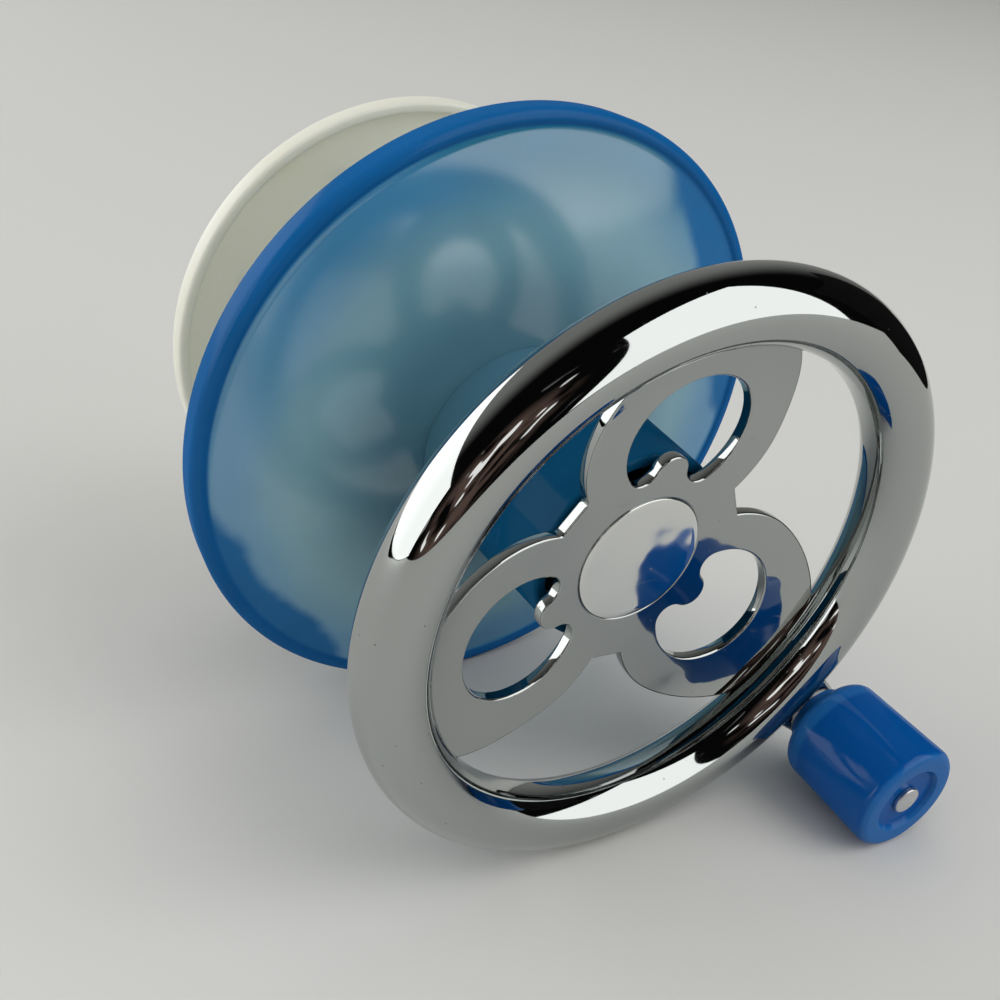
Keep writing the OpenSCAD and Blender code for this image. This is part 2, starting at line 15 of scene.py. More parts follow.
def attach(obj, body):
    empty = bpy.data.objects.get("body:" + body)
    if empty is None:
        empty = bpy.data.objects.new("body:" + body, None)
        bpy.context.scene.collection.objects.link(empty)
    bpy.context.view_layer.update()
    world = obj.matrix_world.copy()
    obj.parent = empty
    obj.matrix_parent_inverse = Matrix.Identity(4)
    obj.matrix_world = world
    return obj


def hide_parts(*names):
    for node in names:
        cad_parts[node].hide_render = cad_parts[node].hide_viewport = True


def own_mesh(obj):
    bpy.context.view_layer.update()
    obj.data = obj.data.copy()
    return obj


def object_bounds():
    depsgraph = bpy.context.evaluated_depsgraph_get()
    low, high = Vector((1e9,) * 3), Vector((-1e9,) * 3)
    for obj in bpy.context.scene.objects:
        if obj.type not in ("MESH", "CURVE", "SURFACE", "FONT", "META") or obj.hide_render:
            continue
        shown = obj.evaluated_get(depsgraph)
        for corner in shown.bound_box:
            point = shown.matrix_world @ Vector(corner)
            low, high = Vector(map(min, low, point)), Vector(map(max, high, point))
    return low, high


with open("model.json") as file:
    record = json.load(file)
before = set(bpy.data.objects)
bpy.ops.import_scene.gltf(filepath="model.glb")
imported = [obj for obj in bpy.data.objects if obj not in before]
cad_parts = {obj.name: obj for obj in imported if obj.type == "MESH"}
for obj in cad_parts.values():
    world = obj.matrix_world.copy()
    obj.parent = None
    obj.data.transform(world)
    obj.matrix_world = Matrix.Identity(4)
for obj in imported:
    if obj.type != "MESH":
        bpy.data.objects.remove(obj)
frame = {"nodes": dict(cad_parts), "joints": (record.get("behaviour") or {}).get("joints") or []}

CAD_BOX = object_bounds()
LOG = logging.getLogger("crank_head")
MM = 0.001
MERGE = 1e-7
TOUCH = 1e-6
Point = tuple[float, float]
Span = tuple[float, float]
Colour = tuple[float, float, float]
Value = Union["Wire", float, tuple]


class Body(Enum):
    """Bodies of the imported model."""

    LID = "lid_body"
    CRANK = "crank"
    PUSHER = "pusher"
    KNOB = "knob_grip"


class Slot(Enum):
    """The record's material slots for the new pieces."""

    BLUE = "blue_plastic"
    CHROME = "chrome"
    SATIN = "satin_plate"
    CREAM = "cream_plastic"
    STEEL = "steel"


class Pose:
    """Where the upright head lies in the model's frame."""

    def __init__(self) -> None:
        """Reads the crank axis and the knob's axis from the joints."""
        joints = {j["name"]: j for j in frame["joints"]}
        axis = Vector(joints["crank_spin"]["axis"]).normalized()
        self.axis = axis
        self.tilt = math.atan2(-axis.z, -axis.y)
        self.upright = Matrix.Rotation(math.radians(90.0) + self.tilt, 4, "X")
        knob = self.upright.inverted() @ Vector(joints["knob_spin"]["pos_m"])
        self.knob_at = math.hypot(knob.x, knob.y)
        self.crank = self.upright @ Matrix.Rotation(math.atan2(knob.y, knob.x), 4, "Z")
        self.knob = self.crank @ Matrix.Translation((self.knob_at, 0.0, 0.0))


POSE = Pose()


class Wire:
    """One output socket of a shader graph, used in ordinary arithmetic."""

    def __init__(self, graph: "Graph", socket: bpy.types.NodeSocket) -> None:
        """Keeps the graph and the socket."""
        self.graph = graph
        self.socket = socket

    @property
    def is_vector(self) -> bool:
        """True for a vector or a colour."""
        return self.socket.type in {"VECTOR", "RGBA"}

    def _join(self, operation: str, left: Value, right: Value) -> "Wire":
        """Makes the maths node for one operation.

        Args:
            operation: name of the node's operation.
            left: first operand.
            right: second operand.

        Returns:
            The node's result.
        """
        pair = (left, right)
        settings = {"operation": operation}
        if not any(isinstance(v, tuple) or (isinstance(v, Wire) and v.is_vector) for v in pair):
            return self.graph.node("ShaderNodeMath", settings, {0: left, 1: right})
        spread = [(v, v, v) if isinstance(v, (int, float)) else v for v in pair]
        return self.graph.node("ShaderNodeVectorMath", settings, {0: spread[0], 1: spread[1]})

    def __add__(self, other: Value) -> "Wire":
        """Sum."""
        return self._join("ADD", self, other)

    def __radd__(self, other: Value) -> "Wire":
        """Sum, with the wire on the right."""
        return self._join("ADD", other, self)

    def __sub__(self, other: Value) -> "Wire":
        """Difference."""
        return self._join("SUBTRACT", self, other)

    def __rsub__(self, other: Value) -> "Wire":
        """Difference, with the wire on the right."""
        return self._join("SUBTRACT", other, self)

    def __mul__(self, other: Value) -> "Wire":
        """Product."""
        return self._join("MULTIPLY", self, other)

    def __rmul__(self, other: Value) -> "Wire":
        """Product, with the wire on the right."""
        return self._join("MULTIPLY", other, self)

    def __pow__(self, other: Value) -> "Wire":
        """Power."""
        return self._join("POWER", self, other)

    def __rpow__(self, other: Value) -> "Wire":
        """Power, with the wire on the right."""
        return self._join("POWER", other, self)


class Graph:
    """Node tree of one material or world."""

    def __init__(self, tree: bpy.types.NodeTree) -> None:
        """Empties the tree."""
        self.tree = tree
        self.tree.nodes.clear()

    def node(self, kind: str, settings: dict, values: dict, out: Union[int, str] = 0) -> Wire:
        """Adds one node.

        Args:
            kind: type name of the node.
            settings: attributes, set before the sockets.
            values: socket name or number, and its value or wire.
            out: output to return.

        Returns:
            The chosen output.
        """
        made = self.tree.nodes.new(kind)
        for name, setting in settings.items():
            setattr(made, name, setting)
        for name, value in values.items():
            if isinstance(value, Wire):
                self.tree.links.new(value.socket, made.inputs[name])
            else:
                made.inputs[name].default_value = value
        return Wire(self, made.outputs[out]) if made.outputs else Wire(self, made.inputs[0])

    def place(self) -> Wire:
        """Position on the piece, with the crank axis upright as z.

        Returns:
            The position.
        """
        lying = self.node("ShaderNodeTexCoord", {}, {}, "Object")
        return self.node("ShaderNodeVectorRotate", {"rotation_type": "X_AXIS"},
                         {"Vector": lying, "Angle": -math.radians(90.0) - POSE.tilt})

    def parts(self, vector: Wire) -> tuple[Wire, Wire, Wire]:
        """Splits a vector.

        Args:
            vector: vector to split.

        Returns:
            Its x, y and z.
        """
        first = self.node("ShaderNodeSeparateXYZ", {}, {0: vector})
        outputs = first.socket.node.outputs
        return Wire(self, outputs[0]), Wire(self, outputs[1]), Wire(self, outputs[2])

    def radius(self) -> Wire:
        """Distance from the crank axis."""
        x, y, _ = self.parts(self.place())
        return (x * x + y * y) ** 0.5

    def noise(self, scale: float, detail: float = 2.0, stretch: Colour = (1.0, 1.0, 1.0)) -> Wire:
        """Smooth noise from 0 to 1.

        Args:
            scale: grains in a metre.
            detail: octaves.
            stretch: factor for each upright axis.

        Returns:
            The noise.
        """
        values = {"Vector": self.place() * stretch, "Scale": scale, "Detail": detail}
        return self.node("ShaderNodeTexNoise", {}, values, "Fac")

    def cells(self, scale: float) -> Wire:
        """Distance to the nearest of scattered points, in cell widths."""
        values = {"Vector": self.place(), "Scale": scale}
        return self.node("ShaderNodeTexVoronoi", {}, values, "Distance")

    def ramp(self, value: Wire, low: float, high: float) -> Wire:
        """Smooth step.

        Args:
            value: what is compared.
            low: value that gives 0.
            high: value that gives 1.

        Returns:
            A number from 0 to 1.
        """
        return self.node("ShaderNodeMapRange", {"interpolation_type": "SMOOTHSTEP"},
                         {"Value": value, "From Min": low, "From Max": high})

    def mix(self, factor: Value, first: Value, second: Value) -> Wire:
        """Mixes two colours.

        Args:
            factor: share of the second colour.
            first: colour at 0.
            second: colour at 1.

        Returns:
            The mixed colour.
        """
        pair = [(*v, 1.0) if isinstance(v, tuple) and len(v) == 3 else v for v in (first, second)]
        return self.node("ShaderNodeMix", {"data_type": "RGBA"}, {0: factor, 6: pair[0], 7: pair[1]}, 2)

    def soft_edges(self, width: float) -> Wire:
        """Normal that rounds the edges by a width in metres."""
        return self.node("ShaderNodeBevel", {"samples": 4}, {"Radius": width})

    def bump(self, height: Wire, depth: float, base: Union[Wire, None] = None) -> Wire:
        """Normal of a relief.

        Args:
            height: relief from 0 to 1.
            depth: height of the relief in metres.
            base: normal under the relief.

        Returns:
            The bumped normal.
        """
        values = {"Height": height, "Distance": depth, "Strength": 1.0}
        if base is not None:
            values["Normal"] = base
        return self.node("ShaderNodeBump", {}, values)

    def surface(self, values: dict) -> None:
        """Closes the graph with one plain surface shader.

        Args:
            values: sockets of the shader.
        """
        shader = self.node("ShaderNodeBsdfPrincipled", {}, values)
        self.node("ShaderNodeOutputMaterial", {}, {"Surface": shader})


@dataclass(frozen=True)
class Finish:
    """One material, made once and shared."""

    name: str

    def sockets(self, graph: Graph) -> dict:
        """Values of the shader's sockets."""
        raise NotImplementedError

    def material(self) -> bpy.types.Material:
        """Makes the material, or finds it.

        Returns:
            The Blender material.
        """
        made = bpy.data.materials.get(self.name)
        if made is None:
            made = bpy.data.materials.new(self.name)
            made.use_nodes = True
            graph = Graph(made.node_tree)
            graph.surface(self.sockets(graph))
        return made


@dataclass(frozen=True)
class Matte(Finish):
    """Dull paper of the studio's cards."""

    tone: Colour
    rough: float = 0.75
    gloss: float = 0.15

    def sockets(self, graph: Graph) -> dict:
        """Values of the shader's sockets."""
        return {"Base Color": (*self.tone, 1.0), "Roughness": self.rough, "Specular IOR Level": self.gloss}


@dataclass(frozen=True)
class Dyed(Finish):
    """Dyed plastic under a clear skin, which alone gives it its gloss."""

    tone: Colour
    rough: float
    coat: float
    ior: float = 1.5
    coat_ior: float = 1.5
    coat_rough: float = 0.12
    scratch_tone: Colour = (0.25, 0.38, 0.50)
    scratch_run: Colour = (1.0, 0.06, 1.0)
    scratch_cut: Span = (0.66, 0.74)
    wave: float = 0.06 * MM

    def base(self, graph: Graph) -> Wire:
        """Colour of the plastic."""
        raise NotImplementedError

    def skin(self, graph: Graph) -> Value:
        """Weight of the clear skin."""
        return self.coat

    def sockets(self, graph: Graph) -> dict:
        """Values of the shader's sockets.

        Args:
            graph: graph to build in.

        Returns:
            Socket names and values.
        """
        cloud = graph.noise(38.0, 3.0)
        scratch = graph.ramp(graph.noise(900.0, 2.0, self.scratch_run), *self.scratch_cut)
        clouded = self.base(graph) * (0.86 + 0.28 * cloud)
        return {
            "Base Color": graph.mix(scratch * 0.03, clouded, self.scratch_tone),
            "Roughness": self.rough + 0.05 * graph.noise(160.0, 4.0) + 0.10 * scratch,
            "Coat Weight": self.skin(graph),
            "Coat IOR": self.coat_ior,
            "Coat Roughness": self.coat_rough,
            "IOR": self.ior,
            "Specular IOR Level": 0.0,
            "Normal": graph.bump(graph.noise(26.0, 2.0), self.wave),
        }


@dataclass(frozen=True)
class Domed(Dyed):
    """Plastic of the lid, with painted light and shade: its face paler than the rim with painted light let
    through, greyer over the works in its middle with painted shade, paler at one side with painted light,
    darker at its top with painted shade, and deeper at two other sides with a painted dark reflection.
    """

    # painted light and shade: the face tones are painted light let through, greyer in the middle with
    # painted shade over the works
    heart: Colour = (0.088, 0.213, 0.285)
    middle: Colour = (0.155, 0.345, 0.440)
    face: Colour = (0.050, 0.235, 0.440)
    heart_r: float = 28.0 * MM
    middle_r: float = 48.0 * MM
    face_r: float = 63.0 * MM
    mottle: float = 6.0 * MM
    skin_r: float = 66.7 * MM
    skin_fade: Span = (-0.8 * MM, 0.4 * MM)
    tone_fade: Span = (-0.4 * MM, 0.6 * MM)
    face_coat: float = 1.0
    # painted dark reflection: two sides of the lid are a deeper blue, with ragged borders
    painted_dark: Colour = (0.022, 0.150, 0.37)
    painted_dark_turns: tuple[float, float] = (math.radians(25.0), math.radians(214.0))
    painted_dark_starts: tuple[float, float] = (52.5 * MM, 58.0 * MM)
    painted_dark_blur: float = 4.0 * MM
    painted_dark_ragged: float = 10.0 * MM
    # painted light: one side of the lid is paler
    haze_and_painted_light: Colour = (0.070, 0.075, 0.050)
    painted_light_turn: float = math.radians(200.0)
    painted_light_span: Span = (25.0 * MM, 55.0 * MM)
    # painted shade: the top of the lid is darker
    shade: Colour = (0.035, 0.050, 0.120)
    shade_turn: float = math.radians(75.0)
    shade_span: Span = (48.0 * MM, 60.0 * MM)

    @staticmethod
    def along(graph: Graph, turn: float) -> Wire:
        """Distance from the crank axis towards one side of the lid.

        Args:
            graph: graph to build in.
            turn: direction of that side, in radians.

        Returns:
            The distance.
        """
        x, y, _ = graph.parts(graph.place())
        return x * math.cos(turn) + y * math.sin(turn)

    def corners(self, graph: Graph) -> Wire:
        """Two sides of the lid, with ragged borders, where a painted dark reflection makes the plastic
        deeper, and its skin is duller.

        Args:
            graph: graph to build in.

        Returns:
            1 at the two sides, 0 elsewhere.
        """
        ragged = self.painted_dark_ragged * (graph.noise(60.0, 3.0) - 0.5)
        shares = []
        for turn, start in zip(self.painted_dark_turns, self.painted_dark_starts):
            reach = self.along(graph, turn) + ragged
            shares.append(graph.ramp(reach, start, start + self.painted_dark_blur))
        return shares[0] + shares[1]

    def near_rim(self, graph: Graph, fade: Span) -> Wire:
        """Step across the edge of the face, 0 inside it and 1 on the rim.

        Args:
            graph: graph to build in.
            fade: where the step starts and ends, from the edge outwards.

        Returns:
            The step.
        """
        return graph.ramp(graph.radius(), self.skin_r + fade[0], self.skin_r + fade[1])

    def base(self, graph: Graph) -> Wire:
        """Colour of the plastic.

        Args:
            graph: graph to build in.

        Returns:
            The colour.
        """
        r = graph.radius() + self.mottle * (graph.noise(30.0, 2.0) - 0.5)
        # painted shade over the works in the middle, painted light let through further out
        inner = graph.mix(graph.ramp(r, self.heart_r, self.middle_r), self.heart, self.middle)
        clear = graph.mix(graph.ramp(r, self.middle_r, self.face_r), inner, self.face)
        # painted light on one side
        pale = clear + graph.ramp(self.along(graph, self.painted_light_turn), *self.painted_light_span) * self.haze_and_painted_light
        # painted shade on the top
        dim = pale - graph.ramp(self.along(graph, self.shade_turn), *self.shade_span) * self.shade
        # painted dark reflection at two sides
        outer = graph.mix(self.corners(graph), dim, self.painted_dark)
        return graph.mix(self.near_rim(graph, self.tone_fade), outer, self.tone)

    def skin(self, graph: Graph) -> Value:
        """Weight of the clear skin, strong inside the rim but for the two sides with a painted dark
        reflection.
        """
        face = (1.0 - self.near_rim(graph, self.skin_fade)) * (1.0 - self.corners(graph))
        return self.coat + (self.face_coat - self.coat) * face


@dataclass(frozen=True)
class Tower(Dyed):
    """Plastic of the neck: painted light makes it as pale as the lid at its foot, and it is darker towards
    the wheel.
    """

    # painted light: the paler foot of the neck
    painted_light_foot_tone: Colour = (0.070, 0.184, 0.256)
    foot_z: float = 14.0 * MM
    dark_z: float = 34.0 * MM

    def base(self, graph: Graph) -> Wire:
        """Colour of the plastic.

        Args:
            graph: graph to build in.

        Returns:
            The colour.
        """
        height = graph.parts(graph.place())[2]
        # painted light at the foot, fading to the darker tone towards the wheel
        return graph.mix(graph.ramp(height, self.foot_z, self.dark_z), self.painted_light_foot_tone, self.tone)


@dataclass(frozen=True)
class Grip(Dyed):
    """Plastic of the knob, with painted light: a painted sheen makes it paler where it is seen edge on, and
    a painted glow of light let through makes it paler where its wall is thin, at its foot and its end.
    """

    # painted sheen: paler where the knob is seen edge on
    painted_sheen_tone: Colour = (0.006, 0.110, 0.34)
    painted_sheen_blend: float = 0.35
    painted_sheen_span: Span = (0.45, 0.95)
    # painted glow: light let through the thin wall at the foot and the end
    pale: Colour = (0.014, 0.120, 0.37)
    foot_z: float = 77.2 * MM
    rim_z: float = 97.3 * MM
    blur: float = 0.6 * MM

    def base(self, graph: Graph) -> Wire:
        """Colour of the plastic.

        Args:
            graph: graph to build in.

        Returns:
            The colour.
        """
        height = graph.parts(graph.place())[2]
        # painted glow at the thin foot and end
        foot = 1.0 - graph.ramp(height, self.foot_z - self.blur, self.foot_z + self.blur)
        rim = graph.ramp(height, self.rim_z, self.rim_z + self.blur)
        # painted sheen where the surface is seen edge on
        facing = graph.node("ShaderNodeLayerWeight", {}, {"Blend": self.painted_sheen_blend}, "Facing")
        wall = graph.mix(graph.ramp(facing, *self.painted_sheen_span), self.tone, self.painted_sheen_tone)
        return graph.mix(foot + rim, wall, self.pale)


@dataclass(frozen=True)
class Plating(Finish):
    """Mirror plating with a faint waviness, hair scratches and specks."""

    tint: Colour = (0.41, 0.43, 0.42)
    worn: Colour = (0.36, 0.37, 0.36)
    speck_tone: Colour = (0.16, 0.14, 0.12)
    speck_cut: Span = (0.030, 0.055)
    scratch_run: Colour = (0.08, 1.0, 1.0)
    scratch_cut: Span = (0.64, 0.72)
    rough: float = 0.022
    wave: float = 0.03 * MM
    ripple: float = 0.002 * MM
    grain: float = 260.0

    def sockets(self, graph: Graph) -> dict:
        """Values of the shader's sockets.

        Args:
            graph: graph to build in.

        Returns:
            Socket names and values.
        """
        haze_and_painted_light = graph.noise(55.0, 4.0)
        scratch = graph.ramp(graph.noise(700.0, 3.0, self.scratch_run), *self.scratch_cut)
        speck = 1.0 - graph.ramp(graph.cells(210.0), *self.speck_cut)
        bare = graph.mix(0.35 * haze_and_painted_light, self.tint, self.worn)
        broad = graph.bump(graph.noise(30.0, 2.0), self.wave)
        return {
            "Base Color": graph.mix(0.6 * speck, bare, self.speck_tone),
            "Metallic": 1.0,
            "Roughness": self.rough + 0.04 * haze_and_painted_light * haze_and_painted_light + 0.05 * scratch + 0.25 * speck,
            "Normal": graph.bump(graph.noise(self.grain, 1.0), self.ripple, broad),
        }


@dataclass(frozen=True)
class Moulded(Finish):
    """Moulded plastic with a fine grain, soft edges and faint stains."""

    tint: Colour
    stain: Colour = (0.70, 0.66, 0.52)
    stain_cut: Span = (0.50, 0.78)
    rough: float = 0.42
    edge: float = 0.3 * MM
    relief: float = 0.012 * MM
    glow: float = 0.08
    glow_tint: Colour = (1.0, 0.9, 0.7)
    glow_depth: float = 14.0 * MM

    def sockets(self, graph: Graph) -> dict:
        """Values of the shader's sockets.

        Args:
            graph: graph to build in.

        Returns:
            Socket names and values.
        """
        blot = graph.ramp(graph.noise(45.0, 4.0), *self.stain_cut)
        grain = graph.noise(2600.0, 2.0)
        return {
            "Base Color": graph.mix(0.30 * blot, self.tint, self.stain),
            "Roughness": self.rough + 0.12 * graph.noise(90.0, 3.0),
            "Subsurface Weight": self.glow,
            "Subsurface Radius": self.glow_tint,
            "Subsurface Scale": self.glow_depth,
            "Normal": graph.bump(grain, self.relief, graph.soft_edges(self.edge)),
        }


@dataclass(frozen=True)
class Steel(Finish):
    """Bright steel with a drawn grain and dulled spots."""

    tint: Colour = (0.62, 0.62, 0.63)
    dull_tint: Colour = (0.42, 0.41, 0.40)
    dull_cut: Span = (0.48, 0.72)
    grain_run: Colour = (1.0, 0.12, 1.0)
    rough: float = 0.20
    edge: float = 0.15 * MM
    relief: float = 0.006 * MM

    def sockets(self, graph: Graph) -> dict:
        """Values of the shader's sockets.

        Args:
            graph: graph to build in.

        Returns:
            Socket names and values.
        """
        grain = graph.noise(1500.0, 3.0, self.grain_run)
        dull = graph.ramp(graph.noise(140.0, 3.0), *self.dull_cut)
        return {
            "Base Color": graph.mix(0.5 * dull, self.tint, self.dull_tint),
            "Metallic": 1.0,
            "Roughness": self.rough + 0.14 * grain + 0.15 * dull,
            "Normal": graph.bump(grain, self.relief, graph.soft_edges(self.edge)),
        }


LID_BLUE = Domed("lid_blue", tone=(0.007, 0.108, 0.32), rough=0.3, coat=0.10, coat_ior=1.8, coat_rough=0.15)
NECK_BLUE = Tower("neck_blue", tone=(0.003, 0.066, 0.150), rough=0.40, coat=0.10)
KNOB_BLUE = Grip("knob_blue", tone=(0.002, 0.078, 0.31), rough=0.28, coat=0.35, coat_rough=0.10)
RING_CHROME = Plating("ring_chrome")
PLATE_CHROME = Plating("plate_chrome", ripple=0.12 * MM, grain=85.0)
CAP_BRIGHT = Plating("cap_bright", tint=(0.78, 0.79, 0.77), worn=(0.72, 0.73, 0.70), rough=0.03,
                     ripple=0.12 * MM, grain=85.0)
CREAM = Moulded("cream_moulding", tint=(0.75, 0.75, 0.63), glow=0.5)
WHITE = Moulded("white_moulding", tint=(0.86, 0.86, 0.84), stain=(0.74, 0.73, 0.70), rough=0.36)
STEEL = Steel("bright_steel")


def arc(centre: Point, radius: float, start: float, end: float, steps: int = 12) -> list[Point]:
    """Points of an arc.

    Args:
        centre: middle of the arc.
        radius: its radius.
        start: first angle in degrees.
        end: last angle in degrees.
        steps: number of chords.

    Returns:
        The points, both ends included.
    """
    angles = [math.radians(start + (end - start) * i / steps) for i in range(steps + 1)]
    return [(centre[0] + radius * math.cos(a), centre[1] + radius * math.sin(a)) for a in angles]


def turned(points: Sequence[Point], degrees: float) -> list[Point]:
    """Turns flat points round the origin.

    Args:
        points: points to turn.
        degrees: angle.

    Returns:
        The turned points.
    """
    c, s = math.cos(math.radians(degrees)), math.sin(math.radians(degrees))
    return [(c * x - s * y, s * x + c * y) for x, y in points]


class Bench:
    """Makes meshes, places them and gives them to a body."""

    @staticmethod
    def lathe(name: str, profile: Sequence[Point], steps: int, closed: bool = True) -> bpy.types.Object:
        """Revolves a profile round z.

        Args:
            name: name of the piece.
            profile: points of radius and height, in metres.
            steps: number of sides.
            closed: whether the last point joins the first.

        Returns:
            The new object.
        """
        build = bmesh.new()
        turn = [2.0 * math.pi * k / steps for k in range(steps)]
        rings = []
        for r, z in profile:
            if r < MERGE:
                rings.append([build.verts.new((0.0, 0.0, z))] * steps)
            else:
                rings.append([build.verts.new((r * math.cos(a), r * math.sin(a), z)) for a in turn])
        for low, high in zip(rings, rings[1:] + rings[:1] if closed else rings[1:]):
            for k in range(steps):
                n = (k + 1) % steps
                corners = list(dict.fromkeys((low[k], low[n], high[n], high[k])))
                if len(corners) > 2:
                    build.faces.new(corners)
        return Bench.mesh(name, build)

    @staticmethod
    def mesh(name: str, build: bmesh.types.BMesh, crease: float = 40.0) -> bpy.types.Object:
        """Closes a mesh under construction.

        Args:
            name: name of the piece.
            build: the mesh under construction.
            crease: angle in degrees above which an edge stays sharp.

        Returns:
            The new object.
        """
        bmesh.ops.remove_doubles(build, verts=build.verts, dist=MERGE)
        bmesh.ops.recalc_face_normals(build, faces=build.faces)
        data = bpy.data.meshes.new(name)
        build.to_mesh(data)
        build.free()
        data.shade_smooth()
        data.set_sharp_from_angle(angle=math.radians(crease))
        made = bpy.data.objects.new(name, data)
        bpy.context.scene.collection.objects.link(made)
        return made

    @staticmethod
    def slab(name: str, outlines: Sequence[Sequence[Point]], low: float, high: float,
             edge: float) -> bpy.types.Object:
        """Plate with rounded edges.

        Args:
            name: name of the piece.
            outlines: closed outlines, the holes among them.
            low: height of the back face.
            high: height of the front face.
            edge: rounding of the edges.

        Returns:
            The new object.
        """
        curve = bpy.data.curves.new(name + "_outline", "CURVE")
        curve.dimensions = "2D"
        curve.fill_mode = "BOTH"
        curve.extrude = (high - low) / 2.0 - edge
        curve.bevel_depth = edge
        curve.bevel_resolution = 3
        curve.offset = -edge
        for outline in outlines:
            spline = curve.splines.new("POLY")
            spline.points.add(len(outline) - 1)
            for slot, (x, y) in zip(spline.points, outline):
                slot.co = (x, y, 0.0, 1.0)
            spline.use_cyclic_u = True
        holder = bpy.data.objects.new(name + "_outline", curve)
        bpy.context.scene.collection.objects.link(holder)
        bpy.context.view_layer.update()
        shaped = holder.evaluated_get(bpy.context.evaluated_depsgraph_get())
        solid = bpy.data.meshes.new_from_object(shaped)
        bpy.data.objects.remove(holder)
        build = bmesh.new()
        build.from_mesh(solid)
        bmesh.ops.translate(build, verts=build.verts, vec=(0.0, 0.0, (low + high) / 2.0))
        made = Bench.mesh(name, build, crease=60.0)
        even = made.modifiers.new("even_normals", "WEIGHTED_NORMAL")
        even.keep_sharp = True
        even.weight = 100
        return made

    @staticmethod
    def bend(piece: bpy.types.Object, faces: Point, reach: float, cell: float,
             shape: Callable[[float], Point]) -> None:
        """Bends a flat plate into a bowl.

        Args:
            piece: the flat plate.
            faces: heights of its back and its front.
            reach: radius of the bowl.
            cell: width of the cells that the faces are cut into.
            shape: rise and slope of the bowl at a radius.
        """
        build = bmesh.new()
        build.from_mesh(piece.data)
        cuts = math.ceil(reach / cell)
        for way in (Vector((1.0, 0.0, 0.0)), Vector((0.0, 1.0, 0.0))):
            for k in range(-cuts, cuts + 1):
                everything = build.verts[:] + build.edges[:] + build.faces[:]
                bmesh.ops.bisect_plane(build, geom=everything, dist=MERGE, plane_co=way * (cell * k),
                                       plane_no=way)
        normals = []
        for vert in build.verts:
            x, y, z = vert.co
            r = math.hypot(x, y)
            rise, slope = shape(r)
            side = float(abs(z - faces[1]) < TOUCH) - float(abs(z - faces[0]) < TOUCH)
            normals.append(Vector((-slope * x / r, -slope * y / r, 1.0)).normalized() * side)
            vert.co.z = z + rise
        build.to_mesh(piece.data)
        build.free()
        piece.modifiers.clear()
        piece.data.normals_split_custom_set_from_vertices(normals)

    @staticmethod
    def finish(piece: bpy.types.Object, place: Matrix, body: Body, look: Finish, slot: Slot,
               *nodes: str) -> bpy.types.Object:
        """Places a piece, gives it its body and material, and hides the imported nodes that it stands for.

        Args:
            piece: the new piece.
            place: its place in the model's frame.
            body: body that carries it.
            look: its material.
            slot: the record's slot for it; not used.
            nodes: nodes that it stands for.

        Returns:
            The piece.
        """
        piece.data.transform(place)
        piece.data.materials.clear()
        piece.data.materials.append(look.material())
        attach(piece, body.value)
        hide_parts(*nodes)
        LOG.info("piece %s rides on %s", piece.name, body.value)
        return piece


